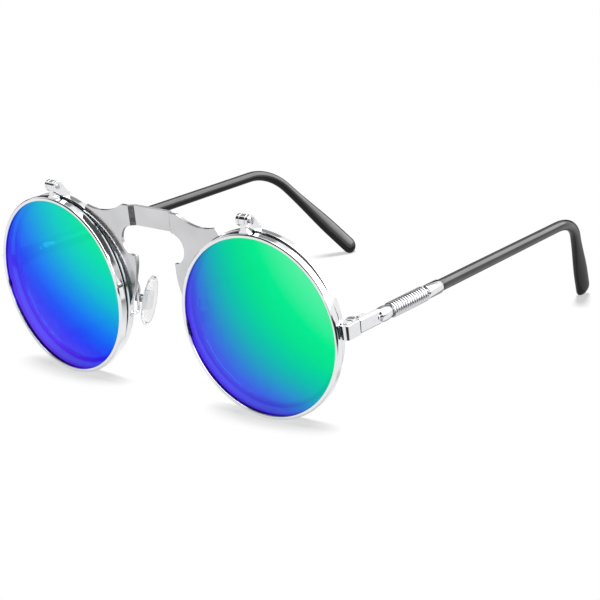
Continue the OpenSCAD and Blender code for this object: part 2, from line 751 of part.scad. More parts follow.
// The bent sheet seen from above
module bridge_bend() {
    rise = band_y - flank_y;
    s = sheet_t * tan(atan2(rise, jog_run) / 2);
    a = band_half;
    b = band_half + jog_run;
    w = lens_x;
    polygon([[-w, flank_y], [-b, flank_y], [-a, band_y], [a, band_y], [b, flank_y], [w, flank_y],
        [w, flank_y + sheet_t], [b + s, flank_y + sheet_t], [a + s, band_y + sheet_t],
        [-a - s, band_y + sheet_t], [-b - s, flank_y + sheet_t], [-w, flank_y + sheet_t]]);
}
module rim_cut() {
    translate([lens_x, 0, 0])
        rotate([0, 0, wrap])
            translate([-rim_in, -5, rim_up])
                lens_disc(rim_r, 20);
}
module bridge() {
    front_frame()
        difference() {
            intersection() {
                translate([0, 8, 0])
                    rotate([90, 0, 0])
                        linear_extrude(12) {
                            bridge_half();
                            mirror([1, 0]) bridge_half();
                        }
                translate([0, 0, -20])
                    linear_extrude(60)
                        bridge_bend();
            }
            rim_cut();
            mirror([1, 0, 0]) rim_cut();
        }
}
module pad_arm() {
    half = lug_half + cheek_gap + cheek_t;
    difference() {
        front_frame()
            skin(tube_rings(smooth(arm_path, 5), arm_r, 8));
        lens_frame()
            translate([-rim_in, rim_y, rim_up])
                lens_disc(rim_r, rim_back - rim_y);
    }
    pad_frame()
        difference() {
            union() {
                translate([pad_pivot, 0, 0])
                    bar_y(cheek_r, -half, half);
                translate([pad_pivot, -half, -cheek_r])
                    cube([cheek_r + web_gap + web_t, 2 * half, 2 * cheek_r]);
            }
            translate([pad_pivot - 2, -lug_half - cheek_gap, -2])
                cube([cheek_r + 2 + web_gap, 2 * (lug_half + cheek_gap), 4]);
            translate([pad_pivot, 0, 0])
                bar_y(pad_screw_r + 0.01, -3, 3);
        }
}
module core_plate() {
    translate([pad_face - 0.7, -1.3, -2.4])
        cube([0.5, 2.6, 4.8]);
    translate([pad_face - 0.5, -lug_half, -0.75])
        cube([pad_pivot - pad_face + 0.5, 2 * lug_half, 1.5]);
}
module pad_core() {
    pad_frame()
        difference() {
            union() {
                core_plate();
                translate([pad_pivot, 0, 0]) bar_y(0.75, -lug_half, lug_half);
            }
            translate([pad_pivot, 0, 0]) bar_y(pad_screw_r + pin_play, -3, 3);
        }
}
// Pillow shaped pad: rings of an egg outline, thinner toward the rim
function pad_ring(a) = let(c = cos(a), s = sin(a), x = pad_mid + pad_t / 2 * s,
    k = pow(max(c, 0.02), 0.6))
    [for (j = [0 : 23]) let(g = j * 15, w = pad_w / 2 * (1 - 0.1 * sin(g)))
    [x, w * k * cos(g), pad_h / 2 * k * sin(g)]];
module pad() {
    pad_frame()
        difference() {
            skin([for (a = [-84 : 24 : 84]) pad_ring(a)]);
            core_plate();
        }
}
module pad_screw() {
    half = lug_half + cheek_gap + cheek_t;
    pad_frame()
        translate([pad_pivot, 0, 0]) {
            bar_y(pad_screw_r, -half, half);
            translate([0, -half - 0.3, 0])
                rotate([90, 0, 0])
                    translate([0, 0, -0.3])
                        mirror([0, 0, 1])
                            slot_head(pad_screw_r + 0.25, 0.3);
        }
}

metal = "silver";
steel = "lightsteelblue";
module bridge_plate() { color(metal) bridge(); }
module left_rear_rim() { color("gainsboro") rear_rim(); }
module right_rear_rim() { color("gainsboro") right_side() rear_rim(); }
module left_rear_lens() { color("lightcyan") rear_lens(); }
module right_rear_lens() { color("lightcyan") right_side() rear_lens(); }
module left_lock_upper() { color(metal) lock_upper(); }
module right_lock_upper() { color(metal) right_side() lock_upper(); }
module left_lock_lower() { color(steel) lock_lower(); }
module right_lock_lower() { color(steel) right_side() lock_lower(); }
module left_lock_screw() { color("gray") lock_screw(); }
module right_lock_screw() { color("gray") right_side() lock_screw(); }
module left_end_piece() { color(metal) end_piece(); }
module right_end_piece() { color(metal) right_side() end_piece(); }
module left_hinge_front_leaf() { color(steel) hinge_front_leaf(); }
module right_hinge_front_leaf() { color(steel) right_side() hinge_front_leaf(); }
module left_hinge_temple_leaf() { color("gainsboro") hinge_temple_leaf(); }
module right_hinge_temple_leaf() { color("gainsboro") right_side() hinge_temple_leaf(); }
module left_hinge_screw() { color("gray") hinge_screw(); }
module right_hinge_screw() { color("gray") right_side() hinge_screw(); }
module left_temple_bar() { color(metal) temple_bar(); }
module right_temple_bar() { color(metal) right_side() temple_bar(); }
module left_collar() { color(steel) collar(); }
module right_collar() { color(steel) right_side() collar(); }
module left_coil_spring() { color("dimgray") coil_spring(); }
module right_coil_spring() { color("dimgray") right_side() coil_spring(); }
module left_ferrule() { color(steel) ferrule(); }
module right_ferrule() { color(steel) right_side() ferrule(); }
module left_sleeve() { color([0.1, 0.1, 0.1]) sleeve(); }
module right_sleeve() { color([0.1, 0.1, 0.1]) right_side() sleeve(); }
module left_pad_arm() { color(metal) pad_arm(); }
module right_pad_arm() { color(metal) right_side() pad_arm(); }
module left_pad_core() { color("gray") pad_core(); }
module right_pad_core() { color("gray") right_side() pad_core(); }
module left_pad() { color("whitesmoke") pad(); }
module right_pad() { color("whitesmoke") right_side() pad(); }
module left_pad_screw() { color("dimgray") pad_screw(); }
module right_pad_screw() { color("dimgray") right_side() pad_screw(); }
module left_flip_base() { color("gainsboro") flip_base(); }
module right_flip_base() { color("gainsboro") right_side() flip_base(); }
module left_flip_leaf() { color(steel) flip_leaf(); }
module right_flip_leaf() { color(steel) right_side() flip_leaf(); }
module left_flip_pin() { color("gray") flip_pin(); }
module right_flip_pin() { color("gray") right_side() flip_pin(); }
module left_flip_ring() { color("silver") flip_ring(); }
module right_flip_ring() { color("silver") right_side() flip_ring(); }
module left_mirror_lens() { color("dodgerblue") mirror_lens(); }
module right_mirror_lens() { color("dodgerblue") right_side() mirror_lens(); }

bridge_plate();
left_rear_rim();
right_rear_rim();
left_rear_lens();
right_rear_lens();
left_lock_upper();
right_lock_upper();
left_lock_lower();
right_lock_lower();
left_lock_screw();
right_lock_screw();
left_end_piece();
right_end_piece();
left_hinge_front_leaf();
right_hinge_front_leaf();
left_hinge_temple_leaf();
right_hinge_temple_leaf();
left_hinge_screw();
right_hinge_screw();
left_temple_bar();
right_temple_bar();
left_collar();
right_collar();
left_coil_spring();
right_coil_spring();
left_ferrule();
right_ferrule();
left_sleeve();
right_sleeve();
left_pad_arm();
right_pad_arm();
left_pad_core();
right_pad_core();
left_pad();
right_pad();
left_pad_screw();
right_pad_screw();
left_flip_base();
right_flip_base();
left_flip_leaf();
right_flip_leaf();
left_flip_pin();
right_flip_pin();
left_flip_ring();
right_flip_ring();
left_mirror_lens();
right_mirror_lens();
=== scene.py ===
import bpy
import bmesh
import json
import math
from mathutils import Matrix, Vector


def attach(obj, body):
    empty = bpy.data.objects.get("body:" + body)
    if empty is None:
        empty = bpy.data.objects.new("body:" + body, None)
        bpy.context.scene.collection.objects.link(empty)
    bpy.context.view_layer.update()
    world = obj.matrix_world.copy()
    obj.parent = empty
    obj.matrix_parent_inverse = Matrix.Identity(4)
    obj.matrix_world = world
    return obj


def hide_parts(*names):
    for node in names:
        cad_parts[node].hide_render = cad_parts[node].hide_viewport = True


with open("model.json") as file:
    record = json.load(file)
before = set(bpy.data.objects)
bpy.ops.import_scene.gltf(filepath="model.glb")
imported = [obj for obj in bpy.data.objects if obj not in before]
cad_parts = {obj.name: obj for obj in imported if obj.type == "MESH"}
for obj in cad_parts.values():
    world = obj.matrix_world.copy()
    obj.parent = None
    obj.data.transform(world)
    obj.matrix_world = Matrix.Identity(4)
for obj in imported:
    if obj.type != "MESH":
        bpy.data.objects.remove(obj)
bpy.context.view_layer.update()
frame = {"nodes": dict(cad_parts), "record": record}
print("frame loaded")

mm = 0.001
up = Vector((0, 0, 1))
evenNoise = (0.3, 0.7)  # nearly all of a noise lies between these


class Sock:  # a shader socket that takes Python arithmetic
    def __init__(self, look, out):
        self.look = look
        self.out = out

    def math(self, operation, a, b):
        return self.look.node("ShaderNodeMath", {"operation": operation}, {0: a, 1: b})

    def __add__(self, other):
        return self.math("ADD", self, other)

    def __radd__(self, other):
        return self.math("ADD", other, self)

    def __sub__(self, other):
        return self.math("SUBTRACT", self, other)

    def __rsub__(self, other):
        return self.math("SUBTRACT", other, self)

    def __mul__(self, other):
        return self.math("MULTIPLY", self, other)

    def __rmul__(self, other):
        return self.math("MULTIPLY", other, self)

    def __truediv__(self, other):
        return self.math("DIVIDE", self, other)

    def most(self, other):
        return self.math("MAXIMUM", self, other)


class Look:  # a node tree with one way to add any node
    def __init__(self, tree):
        self.tree = tree
        tree.nodes.clear()

    def node(self, kind, settings=None, sockets=None, out=0):
        made = self.tree.nodes.new(kind)
        for key, value in (settings or {}).items():
            if key == "stops":
                while len(made.color_ramp.elements) < len(value):
                    made.color_ramp.elements.new(0.5)
                for element, (place, colour) in zip(made.color_ramp.elements, value):
                    element.position = place
                    element.color = (*colour, 1)
            else:
                setattr(made, key, value)
        for key, value in (sockets or {}).items():
            if isinstance(value, Sock):
                self.tree.links.new(value.out, made.inputs[key])
            else:
                made.inputs[key].default_value = value
        return Sock(self, made.outputs[out])

    def noise(self, scale, detail=3.0, place=None):
        sockets = {"Scale": scale, "Detail": detail, "Vector": place or self.place()}
        return self.node("ShaderNodeTexNoise", None, sockets)

    def place(self):
        return self.node("ShaderNodeTexCoord", None, None, "Object")

    def stretched(self, scale):
        return self.node("ShaderNodeMapping", None, {"Vector": self.place(), "Scale": scale})

    def ramp(self, fac, stops):
        return self.node("ShaderNodeValToRGB", {"stops": stops}, {0: fac})

    def shades(self, fac, dark, light):
        return self.ramp(fac, [(evenNoise[0], dark), (evenNoise[1], light)])

    def span(self, value, low, high, toLow=0.0, toHigh=1.0):
        made = {0: value, 1: low, 2: high, 3: toLow, 4: toHigh}
        return self.node("ShaderNodeMapRange", {"clamp": True}, made)

    def dot(self, vector):
        return self.node("ShaderNodeVectorMath", {"operation": "DOT_PRODUCT"},
                         {0: self.place(), 1: vector}, "Value")

    def bump(self, height, strength, distance):
        sockets = {"Height": height, "Strength": strength, "Distance": distance}
        return self.node("ShaderNodeBump", None, sockets)

    def mix(self, factor, first, second):
        return self.node("ShaderNodeMix", {"data_type": "RGBA"}, {0: factor, 6: first, 7: second}, 2)

    def finish(self, shader, kind="ShaderNodeOutputMaterial"):
        outNode = self.tree.nodes.new(kind)
        self.tree.links.new(shader.out, outNode.inputs[0])


def newLook(name):
    material = bpy.data.materials.new(name)
    material.use_nodes = True
    return material, Look(material.node_tree)


def screen(red, green, blue):  # a colour as seen on screen, made linear
    def one(value):
        value /= 255
        return value / 12.92 if value <= 0.04045 else ((value + 0.055) / 1.055) ** 2.4
    return (one(red), one(green), one(blue))


# Places in millimetres and degrees, as the part's source has them
fit = {
    "lensX": 36.5, "tilt": 3.7, "wrap": 4.3, "floor": 25.0252, "shift": -64.4494,
    "joint": (63.298, 8.89972, 27.4044), "rise": 1.4, "toe": 3.0,
    "padPlace": (10.8, 7.4, -2.4), "padLean": 13.0, "padClose": 11.0, "padSplay": 18.0,
}


def turned(degrees, axis):
    return Matrix.Rotation(math.radians(degrees), 4, axis)


shrink = Matrix.Scale(mm, 4)
frontFrame = shrink @ Matrix.Translation((0, fit["shift"], fit["floor"])) @ turned(fit["tilt"], "X")
lensFrame = frontFrame @ Matrix.Translation((fit["lensX"], 0, 0)) @ turned(fit["wrap"], "Z")
jointPlace = Vector(fit["joint"]) + Vector((0, fit["shift"], 0))
templeFrame = shrink @ Matrix.Translation(jointPlace) @ turned(fit["toe"], "Z") @ turned(fit["rise"], "X")
padFrame = frontFrame @ Matrix.Translation(fit["padPlace"]) @ turned(-fit["padSplay"], "Z") \
    @ turned(-fit["padClose"], "Y") @ turned(-fit["padLean"], "X")
otherSide = Matrix.Diagonal((-1, 1, 1, 1))


chromeLook = {
    "colour": (0.84, 0.845, 0.86), "dimmed": 0.94, "smooth": 0.035, "rough": 0.11,
    "haze": 900, "hazeDetail": 4.0, "grime": (0.35, 0.75),
    "scratch": 5200, "scratchDetail": 2.0, "bump": 0.02, "bumpDepth": 0.00002,
}


def makeChrome():
    material, look = newLook("polishedChrome")
    colour, smooth, rough = chromeLook["colour"], chromeLook["smooth"], chromeLook["rough"]
    haze = look.noise(chromeLook["haze"], chromeLook["hazeDetail"])
    fine = look.noise(chromeLook["scratch"], chromeLook["scratchDetail"])
    grime = look.span(haze, *chromeLook["grime"])
    dimmed = [c * chromeLook["dimmed"] for c in colour]
    surface = look.node("ShaderNodeBsdfPrincipled", None, {
        "Base Color": look.ramp(look.span(haze, *evenNoise), [(0.0, dimmed), (1.0, colour)]), "Metallic": 1.0,
        "Roughness": smooth + (rough - smooth) * grime * fine,
        "Normal": look.bump(fine, chromeLook["bump"], chromeLook["bumpDepth"])})
    look.finish(surface)
    return material


# gap: depths along the lens axis where the painted gap shade fades in and out; dark: how strong that painted
# shade is
ringLook = {
    "gap": (2.15, 2.45, 3.15, 3.45), "dark": 0.9, "gapShadeColour": (0.01, 0.01, 0.012, 1), "gapRough": 0.2,
    "haze": (0.4, 0.75), "hazeRough": 0.07,
}


def makeRingChromeWithPaintedGapShade():  # the same chrome, with painted shade darkening the narrow gap behind the flip ring
    material, look = newLook("ringChromePaintedGapShade")
    haze = look.noise(chromeLook["haze"], chromeLook["hazeDetail"])
    fine = look.noise(chromeLook["scratch"], chromeLook["scratchDetail"])
    axis = (lensFrame.to_3x3() @ Vector((0, 1, 0))).normalized()
    start = (lensFrame @ Vector((0, 0, 0))).dot(axis) / mm
    across = look.dot((1 / mm, 0, 0))
    depth = across.most(-1 * across) * axis.x + look.dot(Vector((0, axis.y, axis.z)) / mm) - start
    first, second, third, fourth = ringLook["gap"]
    # painted shade: the chrome's base colour darkened in the gap between the flip ring and the rear rim
    paintedGapShade = look.span(depth, first, second) * (1 - look.span(depth, third, fourth))
    hazeRough = look.span(haze, *ringLook["haze"]) * fine * ringLook["hazeRough"]
    surface = look.node("ShaderNodeBsdfPrincipled", None, {
        "Base Color": look.mix(paintedGapShade * ringLook["dark"], (*chromeLook["colour"], 1), ringLook["gapShadeColour"]),
        "Metallic": 1.0, "Roughness": chromeLook["smooth"] + hazeRough + paintedGapShade * ringLook["gapRough"],
        "Normal": look.bump(fine, chromeLook["bump"], chromeLook["bumpDepth"])})
    look.finish(surface)
    return material


screwLook = {
    "turning": (4000, 4000, 26000), "dark": (0.50, 0.50, 0.52), "light": (0.68, 0.68, 0.70),
    "rough": (0.18, 0.32), "bump": 0.15, "bumpDepth": 0.00003,
}


def makeSteel():
    material, look = newLook("turnedSteel")
    marks = look.noise(1.0, 3.0, look.stretched(screwLook["turning"]))
    surface = look.node("ShaderNodeBsdfPrincipled", None, {
        "Base Color": look.shades(marks, screwLook["dark"], screwLook["light"]),
        "Metallic": 1.0, "Roughness": look.span(marks, *evenNoise, *screwLook["rough"]),
        "Normal": look.bump(marks, screwLook["bump"], screwLook["bumpDepth"])})
    look.finish(surface)
    return material


wireLook = {
    "marks": 3500, "dark": (0.62, 0.62, 0.64), "light": (0.80, 0.80, 0.82),
    "rough": (0.10, 0.22), "bump": 0.06, "bumpDepth": 0.00002,
}


def makeWire():
    material, look = newLook("springWire")
    marks = look.noise(wireLook["marks"])
    surface = look.node("ShaderNodeBsdfPrincipled", None, {
        "Base Color": look.shades(marks, wireLook["dark"], wireLook["light"]),
        "Metallic": 1.0, "Roughness": look.span(marks, *evenNoise, *wireLook["rough"]),
        "Normal": look.bump(marks, wireLook["bump"], wireLook["bumpDepth"])})
    look.finish(surface)
    return material


# Each lens runs from violet at the lower left to green at the upper right, painted in place: partly the
# coating's own colour, partly painted reflection standing in for its colour shift with angle, and the pale mint
# upper-right end is a painted highlight
coating = {
    "left": {"along": (0.838, -0.081, 0.583, 0.033), "from": -22.5, "to": 36.2, "stops": [
        (-22.5, 83, 51, 246), (-17.8, 66, 84, 237), (-13.3, 49, 128, 218), (-8.3, 32, 166, 196),
        (-2.7, 11, 195, 175), (3.6, 0, 218, 157), (10.8, 0, 234, 140), (20.1, 0, 246, 140),
        (36.2, 86, 252, 163)]},
    "right": {"along": (1.242, -0.34, 0.024, -0.163), "from": -42.6, "to": 29.4, "stops": [
        (-42.6, 91, 12, 255), (-26.7, 66, 11, 255), (-17.3, 33, 10, 255), (-9.6, 0, 64, 255),
        (-2.2, 0, 106, 252), (4.9, 0, 145, 242), (11.7, 0, 178, 223), (19.2, 0, 211, 201),
        (29.4, 0, 238, 162)]},
    "seeThrough": 0.1, "backClear": 0.65, "tint": (0.2, 0.84, 0.97, 1), "rough": 0.09,
    "apex": -0.770222, "curve": 200.0, "backTint": (0.016, 0.017, 0.022, 1),
    "frontSkin": (0.3, 0.9), "edge": (24.2, 24.45), "haze": 420, "hazeRough": 0.04,
}


def makeCoatingWithPaintedReflection(side):
    values = coating[side]
    material, look = newLook(side + "MirrorCoating")
    sign = 1 if side == "left" else -1
    mirror = Matrix.Identity(4) if sign > 0 else otherSide
    centre = mirror @ lensFrame @ Vector((0, 0, 0))
    across = ((mirror @ lensFrame).to_3x3() @ Vector((sign, 0, 0))).normalized()
    rise = ((mirror @ lensFrame).to_3x3() @ up).normalized()
    u = look.dot(across / mm) - centre.dot(across) / mm
    v = look.dot(rise / mm) - centre.dot(rise) / mm
    b, c, d, e = values["along"]
    q = u + v * b + v * v * (c / 20) + u * v * (d / 20) + u * u * (e / 20)
    low, high = values["from"], values["to"]
    stops = [((place - low) / (high - low), screen(r, g, blue)) for place, r, g, blue in values["stops"]]
    # the coating's colour with painted reflection and a painted highlight, laid along the lens
    colour = look.ramp(look.span(q, low, high), stops)
    depthAxis = ((mirror @ lensFrame).to_3x3() @ Vector((0, 1, 0))).normalized()
    w = look.dot(depthAxis / mm) - centre.dot(depthAxis) / mm
    fromApex = w - coating["apex"] - (u * u + v * v) / (2 * coating["curve"])
    behind = look.span(fromApex, *coating["frontSkin"])
    inside = look.node("ShaderNodeNewGeometry", None, None, "Backfacing")
    haze = look.noise(coating["haze"])
    edge = look.span(u * u + v * v, *[r ** 2 for r in coating["edge"]])
    behind = behind.most(edge)
    uncoated = behind.most(inside)
    surface = look.node("ShaderNodeBsdfPrincipled", None, {
        "Base Color": look.mix(uncoated, colour, coating["backTint"]), "Metallic": 1 - uncoated,
        "Roughness": look.span(haze, *evenNoise, coating["rough"], coating["rough"] + coating["hazeRough"])})
    through = look.node("ShaderNodeBsdfTransparent", None, {"Color": coating["tint"]})
    share = coating["seeThrough"] + (coating["backClear"] - coating["seeThrough"]) * behind
    look.finish(look.node("ShaderNodeMixShader", None, {0: share * (1 - edge), 1: surface, 2: through}))
    return material


clearLook = {
    "colour": (0.96, 0.985, 0.985, 1), "index": 1.45, "rough": (0.0, 0.03),
    "haze": 500, "hazeSpan": (0.35, 0.7),
}


def makeClearLens():
    material, look = newLook("clearLens")
    haze = look.noise(clearLook["haze"])
    surface = look.node("ShaderNodeBsdfPrincipled", None, {
        "Base Color": clearLook["colour"], "Transmission Weight": 1.0, "IOR": clearLook["index"],
        "Roughness": look.span(haze, *clearLook["hazeSpan"], *clearLook["rough"])})
    look.finish(surface)
    return material


siliconeLook = {
    "cloud": 700, "dark": (0.96, 0.965, 0.97), "light": (0.99, 0.99, 0.99), "clear": 0.97, "index": 1.36,
    "rough": (0.05, 0.12), "bump": 0.05, "bumpDepth": 0.0001,
}


def makeSilicone():
    material, look = newLook("clearSilicone")
    cloud = look.noise(siliconeLook["cloud"])
    surface = look.node("ShaderNodeBsdfPrincipled", None, {
        "Base Color": look.shades(cloud, siliconeLook["dark"], siliconeLook["light"]),
        "Transmission Weight": siliconeLook["clear"], "IOR": siliconeLook["index"],
        "Roughness": look.span(cloud, *evenNoise, *siliconeLook["rough"]),
        "Normal": look.bump(cloud, siliconeLook["bump"], siliconeLook["bumpDepth"])})
    look.finish(surface)
    return material


sleeveLook = {
    "dust": 2600, "dark": (0.3, (0.006, 0.006, 0.007)), "light": (0.75, (0.014, 0.014, 0.015)),
    "dustSpan": (0.4, 0.8), "rough": (0.12, 0.2), "index": 1.5,
    "ripple": 160, "coat": (0.3, 0.5), "coatRough": 0.07, "bump": 0.05, "bumpDepth": 0.0003,
}


def makeSleeve():
    material, look = newLook("glossBlackSleeve")
    ripple = look.noise(sleeveLook["ripple"], 2.0)
    dust = look.noise(sleeveLook["dust"])
    surface = look.node("ShaderNodeBsdfPrincipled", None, {
        "Base Color": look.ramp(dust, [sleeveLook["dark"], sleeveLook["light"]]),
        "Roughness": look.span(dust, *sleeveLook["dustSpan"], *sleeveLook["rough"]), "IOR": sleeveLook["index"],
        "Coat Weight": look.span(ripple, *evenNoise, *sleeveLook["coat"]),
        "Coat Roughness": sleeveLook["coatRough"],
        "Normal": look.bump(ripple, sleeveLook["bump"], sleeveLook["bumpDepth"])})
    look.finish(surface)
    return material


plateLook = {
    "grain": (700, 700, 5200), "cloud": 90, "dark": (0.60, 0.60, 0.61), "light": (0.70, 0.70, 0.715),
    "rough": (0.13, 0.20), "bump": 0.04, "bumpDepth": 0.00002,
}


def makePlate():  # pressed sheet, polished less than the rings
    material, look = newLook("satinPlate")
    grain = look.noise(1.0, 3.0, look.stretched(plateLook["grain"]))
    cloud = look.noise(plateLook["cloud"], 2.0)
    surface = look.node("ShaderNodeBsdfPrincipled", None, {
        "Base Color": look.shades(cloud, plateLook["dark"], plateLook["light"]),
        "Metallic": 1.0, "Roughness": look.span(grain, *evenNoise, *plateLook["rough"]),
        "Normal": look.bump(grain, plateLook["bump"], plateLook["bumpDepth"])})
    look.finish(surface)
    return material


coreLook = {"cloud": 900, "dark": (0.91, 0.92, 0.93), "light": (0.96, 0.965, 0.97), "rough": (0.3, 0.4)}


def makePaleCore():  # the insert inside a pad, seen through the silicone
    material, look = newLook("paleCore")
    cloud = look.noise(coreLook["cloud"])
    surface = look.node("ShaderNodeBsdfPrincipled", None, {
        "Base Color": look.shades(cloud, coreLook["dark"], coreLook["light"]),
        "Metallic": 1.0, "Roughness": look.span(cloud, *evenNoise, *coreLook["rough"])})
    look.finish(surface)
    return material


materials = {
    "plate": makePlate(), "core": makePaleCore(), "ring": makeRingChromeWithPaintedGapShade(),
    "polished_frame": makeChrome(), "screw_steel": makeSteel(), "spring_steel": makeWire(),
    "clear_lens": makeClearLens(), "clear_pad": makeSilicone(), "black_sleeve": makeSleeve(),
    "leftMirror": makeCoatingWithPaintedReflection("left"), "rightMirror": makeCoatingWithPaintedReflection("right"),
}
slotOf = {part["node"]: part["material_slot"] for part in frame["record"]["subparts"]}
bodyOf = {node: body for body, nodes in frame["record"]["behaviour"]["bodies"].items() for node in nodes}
print("materials made")


def dress(piece, material):
    piece.data.materials.clear()
    piece.data.materials.append(material)


for name, piece in frame["nodes"].items():
    look = slotOf[name]
    if look == "mirror_lens":
        look = name.split("_")[0] + "Mirror"
    if "pad_core" in name:
        look = "core"
    dress(piece, materials[look])


# Gives a new mesh its place, its finish and the body that carries it
def settle(work, name, node, place=None, flip=False, sharp=35, material=None):
    if place is not None:
        bmesh.ops.transform(work, matrix=place, verts=work.verts)
    if flip:
        bmesh.ops.transform(work, matrix=otherSide, verts=work.verts)
    bmesh.ops.recalc_face_normals(work, faces=work.faces)
    for face in work.faces:
        face.smooth = True
    for edge in work.edges:
        if len(edge.link_faces) == 2 and edge.calc_face_angle(0) > math.radians(sharp):
            edge.smooth = False
    mesh = bpy.data.meshes.new(name)
    work.to_mesh(mesh)
    work.free()
    piece = bpy.data.objects.new(name, mesh)
    bpy.context.scene.collection.objects.link(piece)
    dress(piece, material or materials[slotOf[node]])
    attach(piece, bodyOf[node])
    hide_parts(node)
    return piece


soften = {
    "width": 0.09, "steps": 2, "angle": 28, "ringWidth": 0.22, "ringSteps": 3, "merge": 0.000002, "flat": 0.6,
}


def softCopy(node):  # the CAD solid again, with its hard edges eased as polishing does
    work = bmesh.new()
    work.from_mesh(frame["nodes"][node].data)
    bmesh.ops.remove_doubles(work, verts=work.verts, dist=soften["merge"])
    bmesh.ops.dissolve_limit(work, angle_limit=math.radians(soften["flat"]), verts=work.verts, edges=work.edges)
    isRing = "ring" in node or "rim" in node
    # rings and rims take the chrome with the painted gap shade
    special = materials["plate"] if "bridge" in node else materials["ring"] if isRing else None
    piece = settle(work, node + "_polished", node, material=special)
    ease = piece.modifiers.new("eased edges", "BEVEL")
    ease.width = soften["ringWidth" if isRing else "width"] * mm
    ease.segments = soften["ringSteps" if isRing else "steps"]
    ease.limit_method = "ANGLE"
    ease.angle_limit = math.radians(soften["angle"])
    ease.harden_normals = False
    ease.use_clamp_overlap = True
    return piece


for node in sorted(frame["nodes"]):
    if slotOf[node] == "polished_frame" and "pad_arm" not in node:
        softCopy(node)
print("edges of the metal eased")

spring = {
    "radius": 1.82, "wire": 0.32, "turns": 15, "start": 12.6, "tail": 0.64, "pitch": 0.968, "middle": -0.9,
    "stepsPerTurn": 28, "sides": 14,
}


def makeSpring(side):
    work = bmesh.new()
    first = Vector((spring["middle"] + spring["radius"], spring["start"] + spring["tail"], 0))
    rings = bmesh.ops.create_circle(work, cap_ends=False, radius=spring["wire"], segments=spring["sides"])
    bmesh.ops.transform(work, matrix=Matrix.Translation(first), verts=rings["verts"])
    steps = spring["turns"] * spring["stepsPerTurn"]
    bmesh.ops.spin(work, geom=work.edges[:], cent=(spring["middle"], 0, 0), axis=(0, -1, 0),
                   dvec=(0, spring["pitch"] / spring["stepsPerTurn"], 0),
                   angle=math.tau * spring["turns"], steps=steps, use_duplicate=False)
    bmesh.ops.holes_fill(work, edges=[e for e in work.edges if e.is_boundary], sides=spring["sides"])
    settle(work, side + "_coil_spring_wound", side + "_coil_spring", templeFrame, side == "right")


sleeve = {
    "start": 34.8, "middle": -0.9, "straightEnd": 90.6529, "half": 1.65, "wide": 1.45, "slim": 1.5,
    "bendRadius": 16.0, "bendAngle": 55.1014, "bendTan": 8.34708, "corner": (-0.9, 99, 0),
    "tipAlong": (-0.310219, 0.572125, -0.759234), "outward": (0.378239, 0, 0.925708),
    "sideways": (0.925708, 0, -0.378239), "lean": 22.2247, "tipRun": 39.327, "tipStraight": 28.38,
    "dome": 2.6, "tipHalf": 2.6, "tipThick": 1.35, "sides": 40,
    "mouth": ((0, 0.88), (0.0025, 0.95), (0.006, 1)), "leanFrom": 0.6, "tipWidens": 0.75,
    "straightSteps": 30, "bendSteps": 28, "tipSteps": 24,
    "domeAngles": (9, 18, 27, 36, 45, 54, 63, 71, 78, 84, 88),
}


def eased(value):
    value = max(0.0, min(1.0, value))
    return value * value * (3 - 2 * value)


def between(a, b, t):
    return a + (b - a) * t


def loftRings(work, stations, sides):  # a skin over ellipses, each one extruded from the last
    made = bmesh.ops.create_circle(work, cap_ends=True, radius=1.0, segments=sides)
    ring = made["verts"]
    bmesh.ops.transform(work, matrix=stations[0], verts=ring)
    last = stations[0]
    edges = [e for e in work.edges]
    for station in stations[1:]:
        made = bmesh.ops.extrude_edge_only(work, edges=edges)
        ring = [g for g in made["geom"] if isinstance(g, bmesh.types.BMVert)]
        edges = [g for g in made["geom"] if isinstance(g, bmesh.types.BMEdge)]
        bmesh.ops.transform(work, matrix=station @ last.inverted(), verts=ring)
        last = station
    bmesh.ops.holes_fill(work, edges=edges, sides=sides + 1)


def station(place, along, outward, half, wide):
    sideways = along.cross(outward)
    made = Matrix((outward * half, sideways * wide, along)).transposed().to_4x4()
    made.translation = place
    return made


